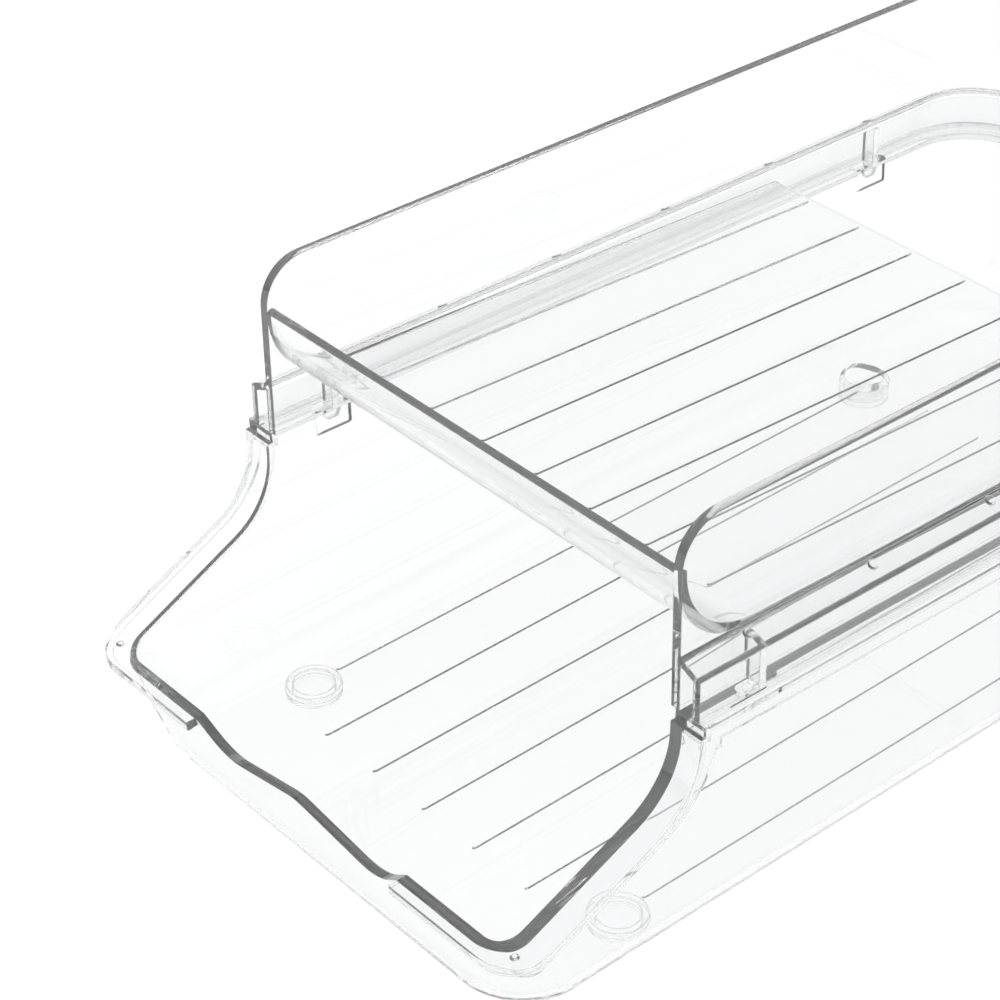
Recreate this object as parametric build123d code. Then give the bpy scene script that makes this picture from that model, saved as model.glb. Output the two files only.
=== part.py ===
"""Two tier rolling can dispenser moulded in clear plastic.

X runs across the lanes, +Y runs from the mouth to the back, +Z is up.
The origin lies on the shelf under the middle of the footprint.
"""
from build123d import *
from math import cos, radians, sin, tan
import os

# Overall sizes in millimetres
case_length = 303.0
case_width = 158.4
case_height = 113.8
seam_height = 68.3

# Plastic thicknesses
wall = 2.5
ramp_thick = 2.4
rim_thick = 2.3
rim_lip_thick = 1.6

# Lower bin
rim_side = 9.2
rim_front = 5.1
rim_lip_depth = 5.0
bin_draft = 2.2
front_draft = 12.0
front_wall_height = 28.0
front_reach = 46.6
front_corner = 6.0
rear_corner = 18.0
base_corner = 20.5
base_round = 6.5
floor_height = 4.6
floor_fall = 1.15
swoop_face = 16.0
swoop_round = 20.0
swoop_step = 2.5
swoop_ledge = 1.3
swoop_foot = 0.5
swoop_foot_round = 5.0

# Finger notch in the front wall
notch_half = 37.0
notch_depth = 6.8
notch_valley = 27.5
notch_valley_round = 13.0
notch_peak_drop = 0.6
notch_peak_round = 12.0

# Anti roll ribs on both floors
rib_count = 7
rib_width = 2.8
rib_proud = 0.4
rib_taper = 40.0
rib_bevel = 0.8
lower_rib_start = 13.5
upper_rib_start = 21.5
upper_rib_inset = 3.0

# Feet
foot_front_back = 3.0
foot_rear_gap = 48.5
foot_rear_out = 4.5
foot_outer = 14.0
foot_side_gap = 15.1
foot_wall = 1.5
foot_lift = 0.5
pad_fit = 0.15
pad_depth = 1.6
pad_round = 0.3

# Upper tray
tray_inner_step = 1.4
skirt_outer = 8.5
skirt_thick = 2.1
shoulder_height = 13.7
shoulder_drop = 2.8
shoulder_thick = 2.1
shoulder_fillet = 1.2
shoulder_round = 1.4
wall_corner = 11.0
ramp_front_height = 82.6
ramp_fall = 1.7
ramp_length = 166.0
lip_rise = 20.1
lip_round = 19.0
lip_edge_round = 1.1
ramp_edge_round = 1.9

# Snap pegs under the tray and the slots that they pass
peg_first = 19.0
peg_last = 36.7
peg_stem = 2.2
peg_stem_long = 3.0
peg_head_long = 6.0
peg_head_height = 2.6
peg_below = 4.2
slot_clearance = 0.6
slot_long = 11.0
web_thick = 1.8

# Round marks along the shoulder
mark_count = 6
mark_radius = 1.3
mark_proud = 0.6
mark_taper = 25.0
mark_out = 2.1
mark_lead = 1.8

# Places worked out from the sizes above
rim_front_edge = -case_length / 2
bin_front = rim_front_edge + rim_front
bin_rear = case_length / 2 - rim_side
bin_half = case_width / 2 - rim_side
wall_above = seam_height - front_wall_height
tray_front = bin_front + front_reach
tray_half = bin_half - tray_inner_step
tray_rear = bin_rear - tray_inner_step
foot_front_y = tray_front - foot_front_back
foot_rear_y = bin_rear - foot_rear_gap
foot_x = bin_half - foot_side_gap
rib_pitch = 2 * foot_x / (rib_count - 1)
lip_height = ramp_front_height + lip_rise
floor_slope = tan(radians(floor_fall))
ramp_slope = tan(radians(ramp_fall))
peg_rows = [tray_front + peg_first, tray_rear - peg_last]
peg_x = tray_half + (wall + skirt_outer - skirt_thick) / 2
tray_rear_round = rear_corner - tray_inner_step
shoulder_top = seam_height + shoulder_height
shoulder_fall = shoulder_drop / (skirt_outer - wall)
low_end = (Align.CENTER, Align.CENTER, Align.MIN)
high_end = (Align.CENTER, Align.CENTER, Align.MAX)
SIDES = {"left": -1, "right": 1}


def floor_top(y):
    """Height of the lower lane's floor at y; it falls towards the mouth."""
    return floor_height + (y - foot_front_y) * floor_slope


def ramp_top(y):
    """Height of the upper ramp's surface at y; it falls towards the back."""
    return ramp_front_height - (y - tray_front) * ramp_slope


def plan_face(half_x, y_front, y_rear, r_front, r_rear, z):
    """Rounded oblong at height z, with its own radii at the front and the back corners."""
    outline = Plane.XY.offset(z) * Pos(0, (y_front + y_rear) / 2) * Rectangle(2 * half_x, y_rear - y_front)
    by_y = outline.vertices().sort_by(Axis.Y)
    outline = fillet(by_y[:2], r_front)
    by_y = outline.vertices().sort_by(Axis.Y)
    rear = [v for v in by_y if v.Y > y_rear - 0.01]
    return fillet(rear, r_rear)


def tub_outline(inset, z, r_front, r_rear):
    """The tub's plan at height z, drawn in from the bin's inner face by inset and by the draft."""
    depth = seam_height - z
    side = inset + depth * tan(radians(bin_draft))
    front = bin_front + inset + (front_wall_height - z) * tan(radians(front_draft))
    return plan_face(bin_half - side, front, bin_rear - side, r_front - inset, r_rear - inset, z)


def with_flat_faces(block):
    """The same block with each flat ruled face made a true plane, so that its fillets are plain rounds."""
    faces = []
    for face in block.faces():
        corners = [face.normal_at(u, v) for u in (0.1, 0.9) for v in (0.1, 0.9)]
        flat = all((normal - corners[0]).length < 1e-6 for normal in corners)
        faces.append(Face(face.outer_wire()) if flat else face)
    return Solid(Shell(faces))


def tub(inset, base_offset, top_z):
    """Drafted tub block whose front corners open out downwards, with its base along the sloping floor."""
    levels = [tub_outline(inset, 0, base_corner, base_corner),
              tub_outline(inset, front_wall_height, front_corner, rear_corner),
              tub_outline(inset, seam_height, front_corner, rear_corner)]
    block = with_flat_faces(loft(levels, ruled=True))
    top = levels[-1]
    if top_z > seam_height:
        block += extrude(top, top_z - seam_height)
    lowest = Plane(origin=(0, foot_front_y, floor_height + base_offset), x_dir=(1, 0, 0),
                   z_dir=(0, -sin(radians(floor_fall)), cos(radians(floor_fall))))
    block = split(block, bisect_by=lowest, keep=Keep.TOP)
    base = block.faces().sort_by(Axis.Z)[0]
    return fillet(base.edges(), base_round - inset)


def side_face():
    """Side view of all that lies under the rim's top: front wall, swoop, step and the tray's seat."""
    low_y = rim_front_edge - case_length
    foot_y = bin_front + swoop_foot
    knee_y = tray_front - swoop_ledge
    seat_end = seam_height - swoop_step
    swoop = FilletPolyline((low_y, front_wall_height), (foot_y, front_wall_height),
                           (knee_y, seat_end - swoop_face), (knee_y, seat_end),
                           radius=[swoop_foot_round, swoop_round])
    step = Polyline((knee_y, seat_end), (tray_front, seat_end), (tray_front, seam_height),
                    (2 * case_length, seam_height), (2 * case_length, -case_length),
                    (low_y, -case_length), (low_y, front_wall_height))
    return make_face(Plane.YZ * (swoop + step))


def under_rim(depth):
    """Block of all that lies at least this deep under the rim's top, across the whole width."""
    face = side_face()
    if depth > 0:
        face = offset(face, amount=-depth, kind=Kind.INTERSECTION)
    return extrude(face, case_width, both=True)


def rim_block(inset):
    """Drafted block inside the rim's outer outline, drawn in by inset."""
    shrink = seam_height * tan(radians(bin_draft))
    half = case_width / 2 - inset
    front = rim_front_edge + inset - wall_above * tan(radians(bin_draft))
    rear = case_length / 2 - inset
    r_front = front_corner + rim_front - inset
    r_rear = rear_corner + rim_side - inset
    top = plan_face(half, front, rear, r_front, r_rear, seam_height)
    low = plan_face(half - shrink, front + shrink, rear - shrink, r_front, r_rear, 0)
    return loft([low, top], ruled=True)


def rim():
    """Rim flange along the seat, down the swoop and over the front wall, with its lip turned down."""
    plate = (rim_block(0) & under_rim(0)) - under_rim(rim_thick)
    lip = ((rim_block(0) - rim_block(rim_lip_thick)) & under_rim(0)) - under_rim(rim_lip_depth)
    gap = Pos(0, rim_front_edge, 0) * Box(2 * notch_half, 4 * rim_front, 4 * front_wall_height)
    return (plate + lip) - gap


def notch_cut():
    """Double scallop for the fingers: two valleys, steep outside, that meet in a soft peak."""
    low = front_wall_height - notch_depth
    peak = front_wall_height - notch_peak_drop
    high = front_wall_height + notch_depth
    edge = FilletPolyline((-notch_half, front_wall_height), (-notch_valley, low), (0, peak), (notch_valley, low),
                          (notch_half, front_wall_height),
                          radius=[notch_valley_round, notch_peak_round, notch_valley_round])
    over = Polyline((notch_half, front_wall_height), (notch_half, high), (-notch_half, high),
                    (-notch_half, front_wall_height))
    return extrude(Plane.XZ.offset(-bin_front) * make_face(edge + over), 3 * wall, both=True)


def rib(x, start, end, height_at):
    """Low rib along Y with bevelled ends and sloping sides, standing rib_proud above its floor."""
    head = Vector(x, start, height_at(start))
    tail = Vector(x, end, height_at(end))
    along = (tail - head).normalized()
    base = Plane(origin=(head + tail) / 2, x_dir=along, z_dir=Vector(1, 0, 0).cross(along))
    oblong = base * chamfer(Rectangle((tail - head).length, rib_width).vertices(), rib_bevel)
    root = extrude(oblong, -rib_proud)
    return root + extrude(oblong, rib_proud, taper=rib_taper)


def rib_places():
    """X of each rib, evenly spaced about the middle."""
    return [(k - (rib_count - 1) / 2) * rib_pitch for k in range(rib_count)]


def foot_places():
    """Name, x and y of each of the four feet."""
    rows = {"front": (foot_x, foot_front_y), "rear": (foot_x + foot_rear_out, foot_rear_y)}
    return [(row, side, sign * x, y) for row, (x, y) in rows.items() for side, sign in SIDES.items()]


def foot_bodies():
    """Round foot bosses from the underside down to the pads' level."""
    bosses = [Pos(x, y, foot_lift) * Cylinder(foot_outer / 2, floor_top(y) - foot_lift, align=low_end)
              for row, side, x, y in foot_places()]
    return Part() + bosses


def foot_hollows():
    """Pad recesses under all feet, and the open cups above the web of the two rear ones."""
    bore = foot_outer / 2 - foot_wall
    recess = [Pos(x, y, 0) * Cylinder(bore, pad_depth + pad_fit, align=low_end)
              for row, side, x, y in foot_places()]
    web_top = pad_depth + pad_fit + foot_wall
    cups = [Pos(x, y, web_top) * Cylinder(bore, seam_height, align=low_end)
            for row, side, x, y in foot_places() if row == "rear"]
    return Part() + recess + cups


def peg_slots():
    """Slots through the rim that the tray's snap pegs pass."""
    slot = SlotOverall(slot_long, peg_stem + 2 * slot_clearance, rotation=90)
    slots = [Pos(sign * peg_x, y, seam_height - rim_thick) * slot for sign in SIDES.values() for y in peg_rows]
    return extrude(Sketch() + slots, 2 * rim_thick, both=True)


def lower_bin():
    """Lower lane: drafted tub, swooping rim, finger notch, ribs, feet and peg slots."""
    body = (tub(-wall, -wall, seam_height) & under_rim(0)) + rim() + foot_bodies()
    body -= tub(0, 0, seam_height + rim_lip_depth)
    body -= notch_cut()
    body -= foot_hollows()
    body -= peg_slots()
    ribs = []
    for x in rib_places():
        at_foot = abs(abs(x) - foot_x) < foot_outer / 2
        start = foot_front_y + foot_outer / 2 if at_foot else tray_front - lower_rib_start
        end = foot_rear_y - foot_outer / 2 if at_foot else foot_rear_y
        ribs.append(rib(x, start, end, floor_top))
    return body + ribs


def pad(x, y):
    """Round clear pad pressed into a foot's recess, standing just below it."""
    disc = Pos(x, y, 0) * Cylinder(foot_outer / 2 - foot_wall - pad_fit, pad_depth + pad_fit, align=low_end)
    return chamfer(disc.edges().group_by(Axis.Z)[0], pad_round)


def tray_section():
    """Cross section of the tray's side: tall wall, sloping shoulder and the skirt that stands on the rim."""
    corner_z = shoulder_top - shoulder_drop
    inner_x = skirt_outer - skirt_thick
    under_wall = shoulder_top - shoulder_thick
    under_skirt = corner_z - shoulder_thick + skirt_thick * shoulder_fall
    points = [(0, seam_height), (0, case_height), (wall, case_height), (wall, shoulder_top),
              (skirt_outer, corner_z), (skirt_outer, seam_height), (inner_x, seam_height),
              (inner_x, under_skirt), (wall, under_wall), (wall, seam_height)]
    face = make_face(Polyline(*points, close=True))
    root = [v for v in face.vertices() if abs(v.X - wall) < 0.01 and abs(v.Y - shoulder_top) < 0.01]
    face = fillet(root, shoulder_fillet)
    corner = [v for v in face.vertices() if abs(v.X - skirt_outer) < 0.01 and abs(v.Y - corner_z) < 0.01]
    return fillet(corner, shoulder_round)


def tray_walls():
    """Side and rear walls in one run: the section carried round the plan's U."""
    path = FilletPolyline((-tray_half, tray_front), (-tray_half, tray_rear), (tray_half, tray_rear),
                          (tray_half, tray_front), radius=tray_rear_round)
    start = Plane(origin=(-tray_half, tray_front, 0), x_dir=(-1, 0, 0), z_dir=(0, 1, 0))
    walls = sweep(start * tray_section(), path=path)
    return walls - wall_corner_cut()


def wall_corner_cut():
    """Rounds the walls' top front corners."""
    block = Pos(0, tray_front, case_height) * Box(case_width, 2 * wall_corner, 2 * wall_corner)
    rod = Pos(0, tray_front + wall_corner, case_height - wall_corner) * Rot(0, 90, 0) * Cylinder(
        wall_corner, case_width)
    return block - rod


def ramp():
    """Can ramp between the walls, with its quarter round front lip and rounded rear edge."""
    end = tray_front + ramp_length
    lip_y = tray_front
    upper = FilletPolyline((lip_y + ramp_thick, lip_height), (lip_y + ramp_thick, ramp_top(lip_y)),
                           (end, ramp_top(end)), radius=lip_round)
    lower = FilletPolyline((lip_y, lip_height), (lip_y, ramp_top(lip_y) - ramp_thick),
                           (end, ramp_top(end) - ramp_thick), radius=lip_round + ramp_thick)
    ends = Line(upper @ 1, lower @ 1) + Line(upper @ 0, lower @ 0)
    face = make_face(Plane.YZ * (upper + lower + ends))
    plate = extrude(face, tray_half + wall / 2, both=True)
    lip_edges = plate.edges().filter_by(Axis.X).group_by(Axis.Z)[-1]
    plate = fillet(lip_edges, lip_edge_round)
    rear_edges = plate.edges().filter_by(Axis.X).group_by(Axis.Y)[-1].sort_by(Axis.Z)
    plate = fillet(rear_edges[-1], ramp_edge_round)
    rear = end - upper_rib_inset
    ribs = [rib(x, tray_front + upper_rib_start, rear, ramp_top) for x in rib_places()]
    return plate + ribs


def pegs():
    """Snap pegs under the skirt's channel, each on a web that closes the channel."""
    out = Part()
    for sign in SIDES.values():
        for y in peg_rows:
            place = Pos(sign * peg_x, y, seam_height)
            web = place * Box(skirt_outer - wall, web_thick, shoulder_height - shoulder_drop, align=low_end)
            stem = place * Box(peg_stem, peg_stem_long, peg_below, align=high_end)
            head_face = Polyline((-peg_head_long / 2, -peg_below + peg_head_height),
                                 (-peg_stem_long / 2, -peg_below), (peg_stem_long / 2, -peg_below),
                                 (peg_head_long / 2, -peg_below + peg_head_height), close=True)
            head = extrude(Plane.YZ * make_face(head_face), peg_stem / 2, both=True)
            out += [web, stem, place * head]
    return out


def marks():
    """Small round studs square to the sloping shoulder, evenly spaced from the first peg to the last."""
    pitch = (peg_rows[1] - peg_rows[0]) / (mark_count - 1)
    studs = []
    for sign in SIDES.values():
        for k in range(mark_count):
            spot = Vector(sign * (tray_half + wall + mark_out), peg_rows[0] - mark_lead + k * pitch,
                          shoulder_top - mark_out * shoulder_fall)
            disc = Plane(origin=spot, z_dir=Vector(sign * shoulder_fall, 0, 1)) * Circle(mark_radius)
            studs += [extrude(disc, mark_proud, taper=mark_taper), extrude(disc, -mark_proud)]
    return studs


def upper_tray():
    """Upper lane: walls, ramp, webs, pegs and marks in one moulding."""
    return tray_walls() + ramp() + pegs() + marks()


def main():
    """Builds each piece and writes it under its own name."""
    os.makedirs("parts", exist_ok=True)
    pieces = {"lower_bin": lower_bin(), "upper_tray": upper_tray()}
    for row, side, x, y in foot_places():
        pieces["foot_pad_" + row + "_" + side] = pad(x, y)
    for name, shape in pieces.items():
        shape.label = name
        export_step(shape, "parts/" + name + ".step")
        print(name, "solids", len(shape.solids()), "volume", round(shape.volume, 1))


if __name__ == "__main__":
    main()
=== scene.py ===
"""Looks of a two tier can dispenser in clear moulded plastic, on a pale studio floor.

The lower bin, the upper tray and four foot pads are welded copies of their CAD nodes. Two kinds of
fine relief are added on the bin: ring beads over the front feet and gate marks on the rim.
Metres, +X to the right, +Y to the back, +Z up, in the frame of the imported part.
"""
import logging
from dataclasses import dataclass
from enum import Enum
from math import cos, pi, radians, sin, tan

import bpy
import numpy as np
from mathutils import Matrix, Vector


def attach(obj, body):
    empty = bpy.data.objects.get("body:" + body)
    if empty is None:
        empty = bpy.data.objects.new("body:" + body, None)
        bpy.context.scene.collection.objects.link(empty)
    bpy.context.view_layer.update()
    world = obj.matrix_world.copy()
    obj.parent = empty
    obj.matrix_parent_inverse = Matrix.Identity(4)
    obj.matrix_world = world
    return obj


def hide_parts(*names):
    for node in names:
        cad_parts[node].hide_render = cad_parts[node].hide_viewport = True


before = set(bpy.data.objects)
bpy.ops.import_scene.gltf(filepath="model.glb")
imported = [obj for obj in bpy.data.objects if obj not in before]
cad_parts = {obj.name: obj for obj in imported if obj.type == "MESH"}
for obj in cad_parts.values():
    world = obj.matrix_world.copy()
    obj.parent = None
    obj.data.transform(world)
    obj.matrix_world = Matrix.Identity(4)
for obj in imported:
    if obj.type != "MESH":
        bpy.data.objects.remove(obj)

MM = 0.001
IMAGE = 1000
WHITE = (1.0, 1.0, 1.0, 1.0)
BLACK = (0.0, 0.0, 0.0, 1.0)
SEAT_HEIGHT = 68.3 * MM
FOOT_Y = -102.8 * MM
LOG = logging.getLogger("can_dispenser")


class Side(Enum):
    """The two sides of the object, as the sign of X."""

    LEFT = -1
    RIGHT = 1


class Row(Enum):
    """The two rows of feet."""

    FRONT = "front"
    REAR = "rear"


@dataclass(frozen=True)
class ClearPlastic:
    """Clear moulded styrene: polished, faintly wavy, a trace of haze, softly rounded along its edges, with
    painted edge shade that greys its colour where the surface turns away from view.
    """

    name: str = "clear_plastic"
    tint: tuple[float, ...] = (0.995, 0.998, 1.0, 1.0)
    # Painted shade: a darker colour for where the surface turns away from view, standing in for the dark
    # edges that the lighting draws.
    edge_shade_tint: tuple[float, ...] = (0.975, 0.978, 0.98, 1.0)
    edge_shade_blend: float = 0.28
    ior: float = 1.5
    roughness: float = 0.0
    clearness: float = 0.955
    edge_round: float = 0.35 * MM
    edge_samples: int = 4
    wave_scale: float = 22.0
    wave_detail: float = 1.0
    wave_bump: float = 0.03
    wave_depth: float = 1.0 * MM
    absorption: float = 2.0

    def material(self) -> bpy.types.Material:
        """Builds the node material.

        Returns:
            The finished material, with its waviness read from Object coordinates.
        """
        mat = bpy.data.materials.new(self.name)
        mat.use_nodes = True
        nodes, links = mat.node_tree.nodes, mat.node_tree.links
        nodes.clear()
        out = nodes.new("ShaderNodeOutputMaterial")
        shader = nodes.new("ShaderNodeBsdfPrincipled")
        shader.inputs["IOR"].default_value = self.ior
        shader.inputs["Roughness"].default_value = self.roughness
        shader.inputs["Transmission Weight"].default_value = self.clearness
        links.new(self.colour(nodes, links), shader.inputs["Base Color"])
        links.new(self.surface(nodes, links), shader.inputs["Normal"])
        links.new(shader.outputs["BSDF"], out.inputs["Surface"])
        volume = nodes.new("ShaderNodeVolumeAbsorption")
        volume.inputs["Color"].default_value = BLACK
        volume.inputs["Density"].default_value = self.absorption
        links.new(volume.outputs["Volume"], out.inputs["Volume"])
        return mat

    def colour(self, nodes: bpy.types.Nodes, links: bpy.types.NodeLinks) -> bpy.types.NodeSocket:
        """Mixes the face tint into a darker tint as the surface turns away from view: painted shade
        standing in for the dark edge lines that the lighting draws.

        Args:
            nodes: The material's nodes.
            links: The material's links.

        Returns:
            The socket that carries the colour.
        """
        # Painted shade: the Facing weight greys the colour towards the grazing edges.
        facing = nodes.new("ShaderNodeLayerWeight")
        facing.inputs["Blend"].default_value = self.edge_shade_blend
        mix = nodes.new("ShaderNodeMix")
        mix.data_type = "RGBA"
        mix.inputs["A"].default_value = self.tint
        mix.inputs["B"].default_value = self.edge_shade_tint
        links.new(facing.outputs["Facing"], mix.inputs["Factor"])
        return mix.outputs["Result"]

    def surface(self, nodes: bpy.types.Nodes, links: bpy.types.NodeLinks) -> bpy.types.NodeSocket:
        """Rounds the sharp edges and adds the low waves that moulded sheet has.

        Args:
            nodes: The material's nodes.
            links: The material's links.

        Returns:
            The socket that carries the normal.
        """
        bevel = nodes.new("ShaderNodeBevel")
        bevel.samples = self.edge_samples
        bevel.inputs["Radius"].default_value = self.edge_round
        coords = nodes.new("ShaderNodeTexCoord")
        noise = nodes.new("ShaderNodeTexNoise")
        noise.inputs["Scale"].default_value = self.wave_scale
        noise.inputs["Detail"].default_value = self.wave_detail
        bump = nodes.new("ShaderNodeBump")
        bump.inputs["Strength"].default_value = self.wave_bump
        bump.inputs["Distance"].default_value = self.wave_depth
        links.new(coords.outputs["Object"], noise.inputs["Vector"])
        links.new(noise.outputs["Fac"], bump.inputs["Height"])
        links.new(bevel.outputs["Normal"], bump.inputs["Normal"])
        return bump.outputs["Normal"]


@dataclass(frozen=True)
class PadSilicone:
    """Clear soft silicone: a fine satin grain on a clear body."""

    name: str = "clear_pad"
    tint: tuple[float, ...] = (0.985, 0.99, 0.992, 1.0)
    ior: float = 1.41
    roughness: float = 0.1
    clearness: float = 0.97
    grain_scale: float = 900.0
    grain_bump: float = 0.05
    grain_depth: float = 0.1 * MM

    def material(self) -> bpy.types.Material:
        """Builds the node material.

        Returns:
            The finished material, with its grain read from Object coordinates.
        """
        mat = bpy.data.materials.new(self.name)
        mat.use_nodes = True
        nodes, links = mat.node_tree.nodes, mat.node_tree.links
        shader = nodes["Principled BSDF"]
        shader.inputs["Base Color"].default_value = self.tint
        shader.inputs["IOR"].default_value = self.ior
        shader.inputs["Roughness"].default_value = self.roughness
        shader.inputs["Transmission Weight"].default_value = self.clearness
        coords = nodes.new("ShaderNodeTexCoord")
        grain = nodes.new("ShaderNodeTexNoise")
        grain.inputs["Scale"].default_value = self.grain_scale
        bump = nodes.new("ShaderNodeBump")
        bump.inputs["Strength"].default_value = self.grain_bump
        bump.inputs["Distance"].default_value = self.grain_depth
        links.new(coords.outputs["Object"], grain.inputs["Vector"])
        links.new(grain.outputs["Fac"], bump.inputs["Height"])
        links.new(bump.outputs["Normal"], shader.inputs["Normal"])
        return mat


def place_piece(name: str, points: np.ndarray, faces: np.ndarray, body: str,
                finish: bpy.types.Material) -> bpy.types.Object:
    """Makes an object of points and faces and lets it ride on a body.

    Args:
        name: The piece's name.
        points: Vertex coordinates in metres, one row each.
        faces: Vertex numbers, one row for each face.
        body: The CAD body that the piece moves with.
        finish: The material.

    Returns:
        The new object, at the origin, unturned.
    """
    mesh = bpy.data.meshes.new(name)
    mesh.from_pydata(points.tolist(), [], faces.tolist())
    mesh.validate()
    piece = bpy.data.objects.new(name, mesh)
    bpy.context.scene.collection.objects.link(piece)
    mesh.materials.append(finish)
    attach(piece, body)
    LOG.info("%s: %d faces", name, len(faces))
    return piece


@dataclass(frozen=True)
class SlopedFloor:
    """A can lane's floor: its height is height + (y - origin) * tan(rise)."""

    height: float
    origin: float
    rise: float

    def top(self, y: np.ndarray) -> np.ndarray:
        """The floor's height at each y."""
        return self.height + (y - self.origin) * tan(self.rise)


LOWER_FLOOR = SlopedFloor(height=4.6 * MM, origin=FOOT_Y, rise=radians(1.15))
RAMP_FLOOR = SlopedFloor(height=82.6 * MM, origin=-99.8 * MM, rise=radians(-1.7))


@dataclass(frozen=True)
class RibField:
    """The anti roll ribs on one floor, a pitch apart, between start and end."""

    floor: SlopedFloor
    start: float
    end: float
    pitch: float = 18.3 * MM
    outermost: float = 56.0 * MM
    half_width: float = 1.45 * MM
    tallest: float = 0.6 * MM
    slimming: float = 0.62

    def slimmed(self, points: np.ndarray) -> np.ndarray:
        """Draws each rib in towards its own middle line.

        A point within half_width of a rib's middle line and within tallest of the floor's height moves
        to x - (x - the rib's x) * slimming. All other points stay.

        Args:
            points: Vertex coordinates.

        Returns:
            The coordinates with slimmer ribs.
        """
        x, y, z = points.T
        nearest = np.round(x / self.pitch) * self.pitch
        above = z - self.floor.top(y)
        on_rib = (y > self.start) & (y < self.end) & (np.abs(above) < self.tallest)
        on_rib &= (np.abs(x - nearest) < self.half_width) & (np.abs(nearest) < self.outermost)
        moved = points.copy()
        moved[on_rib, 0] -= (x - nearest)[on_rib] * self.slimming
        return moved


@dataclass(frozen=True)
class RimLip:
    """The lip under the rim's outer edge, which fades out down the swoop and along the front.

    The rim's top is a line in the Y, Z plane: level over the front, a small arc, a slope, the swoop's
    arc, a step and the level seat. Depth is measured square to it. The outline is the rim's outer
    edge at the seat's height, drawn in by the draft further down.
    """

    low_end: tuple[float, float] = (-200.0 * MM, 28.0 * MM)
    foot_centre: tuple[float, float] = (-147.05 * MM, 33.0 * MM)
    foot_radius: float = 5.0 * MM
    foot_points: int = 5
    slope: float = radians(25.95)
    swoop_centre: tuple[float, float] = (-121.1 * MM, 62.31 * MM)
    swoop_radius: float = 20.0 * MM
    swoop_points: int = 17
    step: tuple[tuple[float, float], ...] = (
        (-101.1 * MM, 65.8 * MM), (-99.8 * MM, 65.8 * MM),
        (-99.8 * MM, SEAT_HEIGHT), (200.0 * MM, SEAT_HEIGHT))
    half_width: float = 79.2 * MM
    front: float = -153.05 * MM
    draft: float = radians(2.2)
    corner: float = 11.1 * MM
    thick: float = 1.75 * MM
    slack: float = 0.1 * MM
    root: float = 2.3 * MM
    full: float = 5.0 * MM
    least: float = 2.5 * MM
    deepest: float = 5.5 * MM
    fade_low: float = 44.0 * MM
    fade_high: float = 64.0 * MM

    def rim_top(self) -> np.ndarray:
        """Points of the rim's top line: both arcs are centre + radius * (sin t, -cos t).

        Returns:
            Y and Z, one row for each point, from front to back.
        """
        foot_turn = np.linspace(0.0, self.slope, self.foot_points)
        swoop_turn = np.linspace(self.slope, pi / 2, self.swoop_points)
        foot = np.stack([np.sin(foot_turn), -np.cos(foot_turn)], axis=1)
        swoop = np.stack([np.sin(swoop_turn), -np.cos(swoop_turn)], axis=1)
        return np.concatenate([
            [self.low_end],
            np.array(self.foot_centre) + self.foot_radius * foot,
            np.array(self.swoop_centre) + self.swoop_radius * swoop,
            self.step])

    def inset(self, points: np.ndarray) -> np.ndarray:
        """How far each point lies inside the rim's drafted, round cornered outline.

        It is the lesser distance to the side and the front, and in a corner the corner's radius less
        the distance from its centre.

        Args:
            points: Vertex coordinates.

        Returns:
            One distance for each point.
        """
        x, y, z = points.T
        shrink = (SEAT_HEIGHT - z) * tan(self.draft)
        side = self.half_width - shrink - np.abs(x)
        front = y - (self.front + shrink)
        in_corner = (side < self.corner) & (front < self.corner)
        rounded = self.corner - np.hypot(self.corner - side, self.corner - front)
        return np.where(in_corner, rounded, np.minimum(side, front))

    def depth(self, points: np.ndarray) -> tuple[np.ndarray, np.ndarray]:
        """Finds the nearest point of the rim's top line, by projection on each of its straight runs.

        Args:
            points: Vertex coordinates.

        Returns:
            Each point's depth under the line, and the Y and Z of its nearest point there.
        """
        top = self.rim_top()
        start, run = top[:-1], np.diff(top, axis=0)
        spot = points[:, None, 1:] - start[None]
        along = np.clip((spot * run).sum(axis=2) / (run * run).sum(axis=1), 0.0, 1.0)
        foot = start[None] + along[:, :, None] * run[None]
        reach = np.linalg.norm(points[:, None, 1:] - foot, axis=2)
        nearest = reach.argmin(axis=1)
        here = np.arange(len(points))
        return reach[here, nearest], foot[here, nearest]

    def faded(self, points: np.ndarray) -> np.ndarray:
        """Draws the lip up towards the rim.

        A point at depth d moves to root + (d - root) * (wanted - root) / (full - root), where wanted goes
        smoothly, as 3 s s - 2 s s s, from least low on the swoop to full at the seat.

        Args:
            points: Vertex coordinates.

        Returns:
            The coordinates with the faded lip.
        """
        depth, foot = self.depth(points)
        share = np.clip((foot[:, 1] - self.fade_low) / (self.fade_high - self.fade_low), 0.0, 1.0)
        wanted = self.least + (self.full - self.least) * share * share * (3.0 - 2.0 * share)
        inset = self.inset(points)
        on_lip = (inset > -self.slack) & (inset < self.thick)
        on_lip &= (depth > self.root) & (depth < self.deepest)
        aim = self.root + (depth - self.root) * (wanted - self.root) / (self.full - self.root)
        pull = np.where(on_lip, 1.0 - aim / np.maximum(depth, self.root), 0.0)
        moved = points.copy()
        moved[:, 1:] += (foot - points[:, 1:]) * pull[:, None]
        return moved


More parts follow.
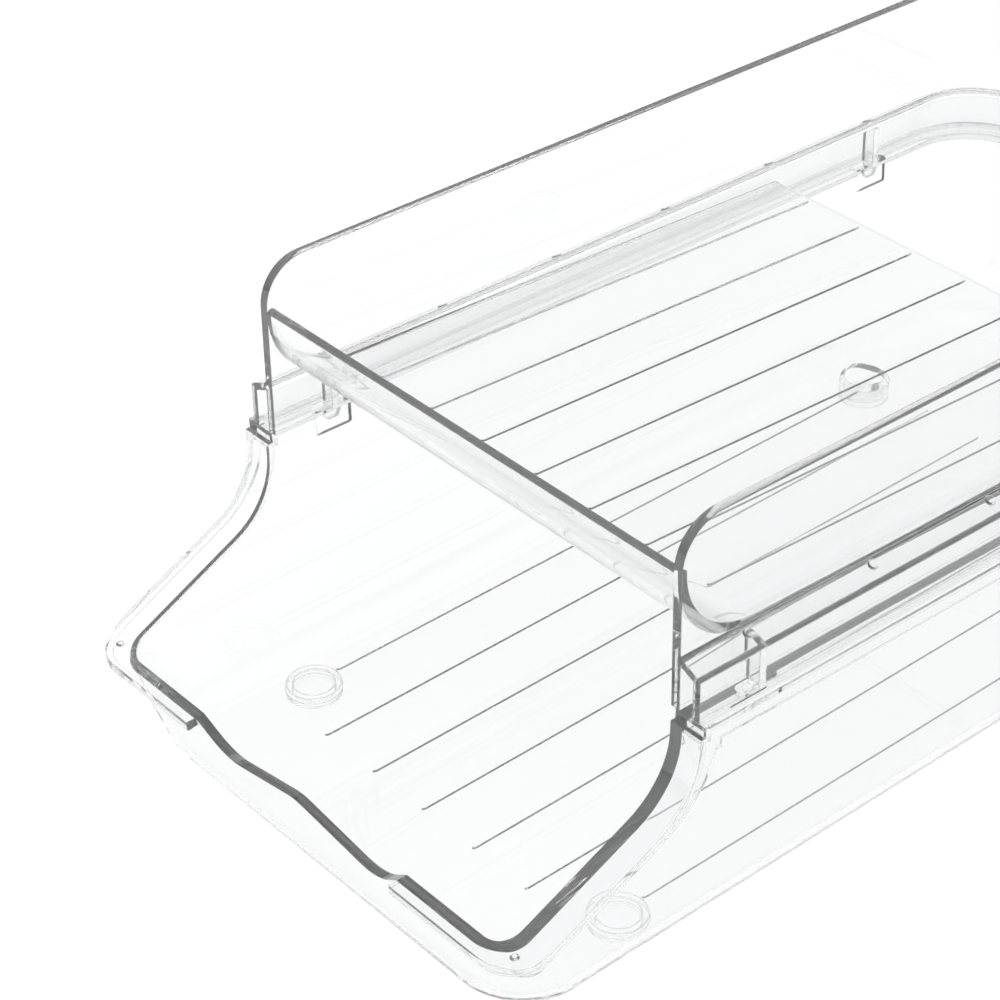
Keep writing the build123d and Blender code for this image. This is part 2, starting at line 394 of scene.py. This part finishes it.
@dataclass(kw_only=True)
class Moulding:
    """One moulding: a welded, smooth copy of its CAD node that takes the node's place.

    The copy keeps the node's form but for what eased gives it. Vertices closer than weld are one
    vertex, faces that meet at less than smooth_angle share their normals, and large faces weigh
    most in them.
    """

    node: str
    finish: bpy.types.Material
    body: str = "bin"
    slot: str = "clear_plastic"
    weld: float = 0.0005 * MM
    smooth_angle: float = radians(28)

    def welded(self) -> tuple[np.ndarray, np.ndarray]:
        """Welds the CAD node's loose triangles: points rounded to the weld size become one.

        Returns:
            Vertex coordinates and triangle corners.
        """
        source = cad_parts[self.node].data
        points = np.empty(len(source.vertices) * 3)
        source.vertices.foreach_get("co", points)
        points = points.reshape(-1, 3)
        source.calc_loop_triangles()
        corners = np.empty(len(source.loop_triangles) * 3, dtype=np.int64)
        source.loop_triangles.foreach_get("vertices", corners)
        keys = np.round(points / self.weld).astype(np.int64)
        _, first, index = np.unique(keys, axis=0, return_index=True, return_inverse=True)
        corners = index.reshape(-1)[corners].reshape(-1, 3)
        a, b, c = corners.T
        whole = (a != b) & (b != c) & (c != a)
        return points[first], corners[whole]

    def eased(self, points: np.ndarray) -> np.ndarray:
        """Gives the points as they are; a moulding with its own easing overrides this."""
        return points

    def build(self) -> None:
        """Makes the copy, gives it its finish and lets it ride on its body in the node's place."""
        points, corners = self.welded()
        piece = place_piece(self.node + "_clear", self.eased(points), corners,
                            self.body, self.finish)
        piece.data.shade_smooth()
        piece.data.set_sharp_from_angle(angle=self.smooth_angle)
        weighted = piece.modifiers.new("weighted", "WEIGHTED_NORMAL")
        weighted.keep_sharp = True
        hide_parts(self.node)


@dataclass(kw_only=True)
class LowerBin(Moulding):
    """The lower bin: swooping tub with its rim, finger notch, ribs and feet."""

    node: str = "lower_bin"
    ribs: RibField = RibField(LOWER_FLOOR, start=-114.0 * MM, end=94.5 * MM)
    lip: RimLip = RimLip()

    def eased(self, points: np.ndarray) -> np.ndarray:
        """Fades the rim's lip down the swoop and slims the ribs on the lower floor."""
        return self.ribs.slimmed(self.lip.faded(points))


@dataclass(kw_only=True)
class UpperTray(Moulding):
    """The upper tray: walls, shoulder, skirt, ramp, webs, pegs and marks."""

    node: str = "upper_tray"
    body: str = "tray"
    ribs: RibField = RibField(RAMP_FLOOR, start=-79.0 * MM, end=65.0 * MM)
    seam_reach: float = 0.001 * MM
    seam_gap: float = 0.06 * MM

    def eased(self, points: np.ndarray) -> np.ndarray:
        """Leaves a hair of air over the bin's rim, so light passes the seam, and slims the ramp's ribs."""
        points[np.abs(points[:, 2] - SEAT_HEIGHT) < self.seam_reach, 2] += self.seam_gap
        return self.ribs.slimmed(points)


@dataclass(kw_only=True)
class FootPad(Moulding):
    """One clear pad in its foot's recess."""

    slot: str = "clear_pad"
    top: float = 1.6 * MM

    def eased(self, points: np.ndarray) -> np.ndarray:
        """Leaves a little air over the pad: no point is higher than top."""
        points[:, 2] = np.minimum(points[:, 2], self.top)
        return points


@dataclass(kw_only=True)
class FootRings:
    """The two fine ring beads on the bin's floor over each front foot."""

    finish: bpy.types.Material
    floor: SlopedFloor = LOWER_FLOOR
    foot_x: float = 54.9 * MM
    foot_y: float = FOOT_Y
    radii: tuple[float, ...] = (5.2 * MM, 6.75 * MM)
    half_width: float = 0.22 * MM
    height: float = 0.16 * MM
    air: float = 0.02 * MM
    around: int = 96
    across: int = 9
    smooth_angle: float = radians(60)

    def bead(self, x: float, radius: float) -> np.ndarray:
        """One bead with a half oval profile on the sloping floor, closed underneath.

        Its points lie at (radius + half_width * cos v) from the foot in the direction u, and at
        air + height * sin v over the floor, with v from 0 to a half turn.

        Args:
            x: The foot's X.
            radius: The bead's radius about the foot.

        Returns:
            The bead's points, one profile after another round the ring.
        """
        u = np.linspace(0.0, 2 * pi, self.around, endpoint=False)[:, None]
        v = np.linspace(0.0, pi, self.across)[None, :]
        reach = radius + self.half_width * np.cos(v)
        across, along = x + reach * np.cos(u), self.foot_y + reach * np.sin(u)
        up = self.floor.top(along) + self.air + self.height * np.sin(v)
        return np.stack([across, along, up], axis=2).reshape(-1, 3)

    def faces(self) -> np.ndarray:
        """Faces of a grid that closes both ways, round the ring and round the profile.

        Returns:
            Four vertex numbers for each face, facing outwards.
        """
        i, j = np.meshgrid(np.arange(self.around), np.arange(self.across), indexing="ij")
        next_i, next_j = (i + 1) % self.around, (j + 1) % self.across
        corners = [(i, j), (next_i, j), (next_i, next_j), (i, next_j)]
        return np.stack([(a * self.across + b).reshape(-1) for a, b in corners], axis=1)

    def build(self, side: Side) -> None:
        """Makes one foot's beads.

        Args:
            side: Which front foot.
        """
        beads = [self.bead(side.value * self.foot_x, radius) for radius in self.radii]
        faces = [self.faces() + k * len(beads[0]) for k in range(len(beads))]
        piece = place_piece("floor_ring_" + side.name.lower(), np.concatenate(beads),
                            np.concatenate(faces), "bin", self.finish)
        piece.data.shade_smooth()
        piece.data.set_sharp_from_angle(angle=self.smooth_angle)


@dataclass(kw_only=True)
class GateMarks:
    """The small round gate mark on the rim near each front corner.

    A mark is a low dome of level rings. ring_share and ring_lift give each ring's share of the
    dome's radius and of its height, from the base up.
    """

    finish: bpy.types.Material
    mark_x: float = 71.8 * MM
    mark_y: float = -145.8 * MM
    rim_top: float = 28.0 * MM
    radius: float = 1.1 * MM
    height: float = 0.16 * MM
    air: float = 0.02 * MM
    around: int = 32
    ring_share: tuple[float, ...] = (1.0, 1.0, 0.85, 0.6, 0.3)
    ring_lift: tuple[float, ...] = (0.0, 0.4, 0.75, 0.95, 1.0)

    def points(self, x: float) -> np.ndarray:
        """The dome's points: centre + radius * share * (cos u, sin u) on each ring, then both poles.

        Args:
            x: The mark's X.

        Returns:
            The rings' points from the base up, then the middle of the base and the dome's top.
        """
        share = np.array(self.ring_share)
        base = self.rim_top + self.air
        lift = base + self.height * np.array(self.ring_lift)
        u = np.linspace(0.0, 2 * pi, self.around, endpoint=False)
        across = x + self.radius * np.outer(share, np.cos(u))
        along = self.mark_y + self.radius * np.outer(share, np.sin(u))
        up = np.repeat(lift[:, None], self.around, axis=1)
        rings = np.stack([across, along, up], axis=2).reshape(-1, 3)
        return np.concatenate([rings, [(x, self.mark_y, base), (x, self.mark_y, lift[-1])]])

    def faces(self) -> np.ndarray:
        """Triangles of the base's fan, the top's fan and the bands between the rings.

        Returns:
            Three vertex numbers for each face, facing outwards.
        """
        here = np.arange(self.around)
        after = (here + 1) % self.around
        base_pole = len(self.ring_share) * self.around
        last = base_pole - self.around
        tris = [np.stack([after, here, np.full_like(here, base_pole)], axis=1),
                np.stack([last + here, last + after, np.full_like(here, base_pole + 1)], axis=1)]
        for level in range(len(self.ring_share) - 1):
            a, b = level * self.around + here, level * self.around + after
            tris.append(np.stack([a, b, b + self.around], axis=1))
            tris.append(np.stack([a, b + self.around, a + self.around], axis=1))
        return np.concatenate(tris)

    def build(self, side: Side) -> None:
        """Makes one mark.

        Args:
            side: Which front corner.
        """
        piece = place_piece("gate_mark_" + side.name.lower(), self.points(side.value * self.mark_x),
                            self.faces(), "bin", self.finish)
        piece.data.shade_smooth()


@dataclass(frozen=True)
class Studio:
    """Pale floor, soft light and the camera at the photograph's angle.

    Azimuth and elevation turn about the aim point, and the optical axis meets the image at
    axis_x, axis_y. The surround's strength goes smoothly from horizon to full as the direction's
    Z goes from fade_from to fade_to.
    """

    azimuth: float = 49.787
    elevation: float = 34.161
    roll: float = -0.698
    focal_pixels: float = 3025.74
    axis_x: float = 527.1
    axis_y: float = 502.5
    aim: tuple[float, ...] = (-5.35 * MM, -75.73 * MM, 70.7 * MM)
    distance: float = 686.08 * MM
    sensor: float = 36.0
    nearest: float = 10.0 * MM
    floor_half: float = 20.0
    floor_grey: float = 0.13
    floor_roughness: float = 1.0
    floor_specular: float = 0.0
    floor_glow: float = 0.97
    horizon: float = 0.25
    full: float = 1.0
    fade_from: float = -0.05
    fade_to: float = 0.5
    bounces: int = 32
    bends: int = 28
    gloss_bounces: int = 8
    clear_bounces: int = 16

    def camera(self) -> None:
        """Places the camera: back is the unit vector from the aim point to the lens."""
        turn, lift = radians(self.azimuth), radians(self.elevation)
        back = Vector((sin(turn) * cos(lift), -cos(turn) * cos(lift), sin(lift)))
        right = Vector((cos(turn), sin(turn), 0.0))
        up = back.cross(right)
        tilt = radians(self.roll)
        right, up = right * cos(tilt) + up * sin(tilt), up * cos(tilt) - right * sin(tilt)
        data = bpy.data.cameras.new("camera")
        data.sensor_width = self.sensor
        data.lens = self.focal_pixels * self.sensor / IMAGE
        data.shift_x = (IMAGE / 2 - self.axis_x) / IMAGE
        data.shift_y = (self.axis_y - IMAGE / 2) / IMAGE
        data.clip_start = self.nearest
        camera = bpy.data.objects.new("camera", data)
        bpy.context.scene.collection.objects.link(camera)
        place = Vector(self.aim) + back * self.distance
        camera.matrix_world = Matrix((
            (right.x, up.x, back.x, place.x),
            (right.y, up.y, back.y, place.y),
            (right.z, up.z, back.z, place.z),
            (0.0, 0.0, 0.0, 1.0)))
        bpy.context.scene.camera = camera

    def floor(self) -> None:
        """Builds the pale floor, lit from within like a light table."""
        half, grey = self.floor_half, self.floor_grey
        corners = [(-half, -half, 0.0), (half, -half, 0.0), (half, half, 0.0), (-half, half, 0.0)]
        mesh = bpy.data.meshes.new("floor")
        mesh.from_pydata(corners, [], [(0, 1, 2, 3)])
        mat = bpy.data.materials.new("pale_floor")
        mat.use_nodes = True
        shader = mat.node_tree.nodes["Principled BSDF"]
        shader.inputs["Base Color"].default_value = (grey, grey, grey, 1.0)
        shader.inputs["Roughness"].default_value = self.floor_roughness
        shader.inputs["Specular IOR Level"].default_value = self.floor_specular
        shader.inputs["Emission Color"].default_value = WHITE
        shader.inputs["Emission Strength"].default_value = self.floor_glow
        mesh.materials.append(mat)
        floor = bpy.data.objects.new("floor", mesh)
        bpy.context.scene.collection.objects.link(floor)

    def surround(self) -> None:
        """Sets a soft white surround that fades to grey at the horizon, as in a room."""
        world = bpy.data.worlds.new("studio")
        world.use_nodes = True
        nodes, links = world.node_tree.nodes, world.node_tree.links
        back = nodes["Background"]
        back.inputs["Color"].default_value = WHITE
        coords = nodes.new("ShaderNodeTexCoord")
        axes = nodes.new("ShaderNodeSeparateXYZ")
        fade = nodes.new("ShaderNodeMapRange")
        fade.interpolation_type = "SMOOTHSTEP"
        fade.inputs["From Min"].default_value = self.fade_from
        fade.inputs["From Max"].default_value = self.fade_to
        fade.inputs["To Min"].default_value = self.horizon
        fade.inputs["To Max"].default_value = self.full
        links.new(coords.outputs["Generated"], axes.inputs["Vector"])
        links.new(axes.outputs["Z"], fade.inputs["Value"])
        links.new(fade.outputs["Result"], back.inputs["Strength"])
        bpy.context.scene.world = world

    def light_paths(self) -> None:
        """Sets how often light may bend and bounce, and the plain view transform."""
        scene = bpy.context.scene
        scene.cycles.max_bounces = self.bounces
        scene.cycles.transmission_bounces = self.bends
        scene.cycles.glossy_bounces = self.gloss_bounces
        scene.cycles.transparent_max_bounces = self.clear_bounces
        scene.view_settings.view_transform = "Standard"

    def build(self) -> None:
        """Builds the whole studio."""
        self.camera()
        self.floor()
        self.surround()
        self.light_paths()


def main() -> None:
    """Builds every piece."""
    logging.basicConfig(level=logging.INFO, format="%(name)s %(message)s")
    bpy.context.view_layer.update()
    Studio().build()
    plastic, silicone = ClearPlastic().material(), PadSilicone().material()
    LowerBin(finish=plastic).build()
    UpperTray(finish=plastic).build()
    for row in Row:
        for side in Side:
            FootPad(node=f"foot_pad_{row.value}_{side.name.lower()}", finish=silicone).build()
    for side in Side:
        FootRings(finish=plastic).build(side)
        GateMarks(finish=plastic).build(side)


if __name__ == "__main__":
    main()
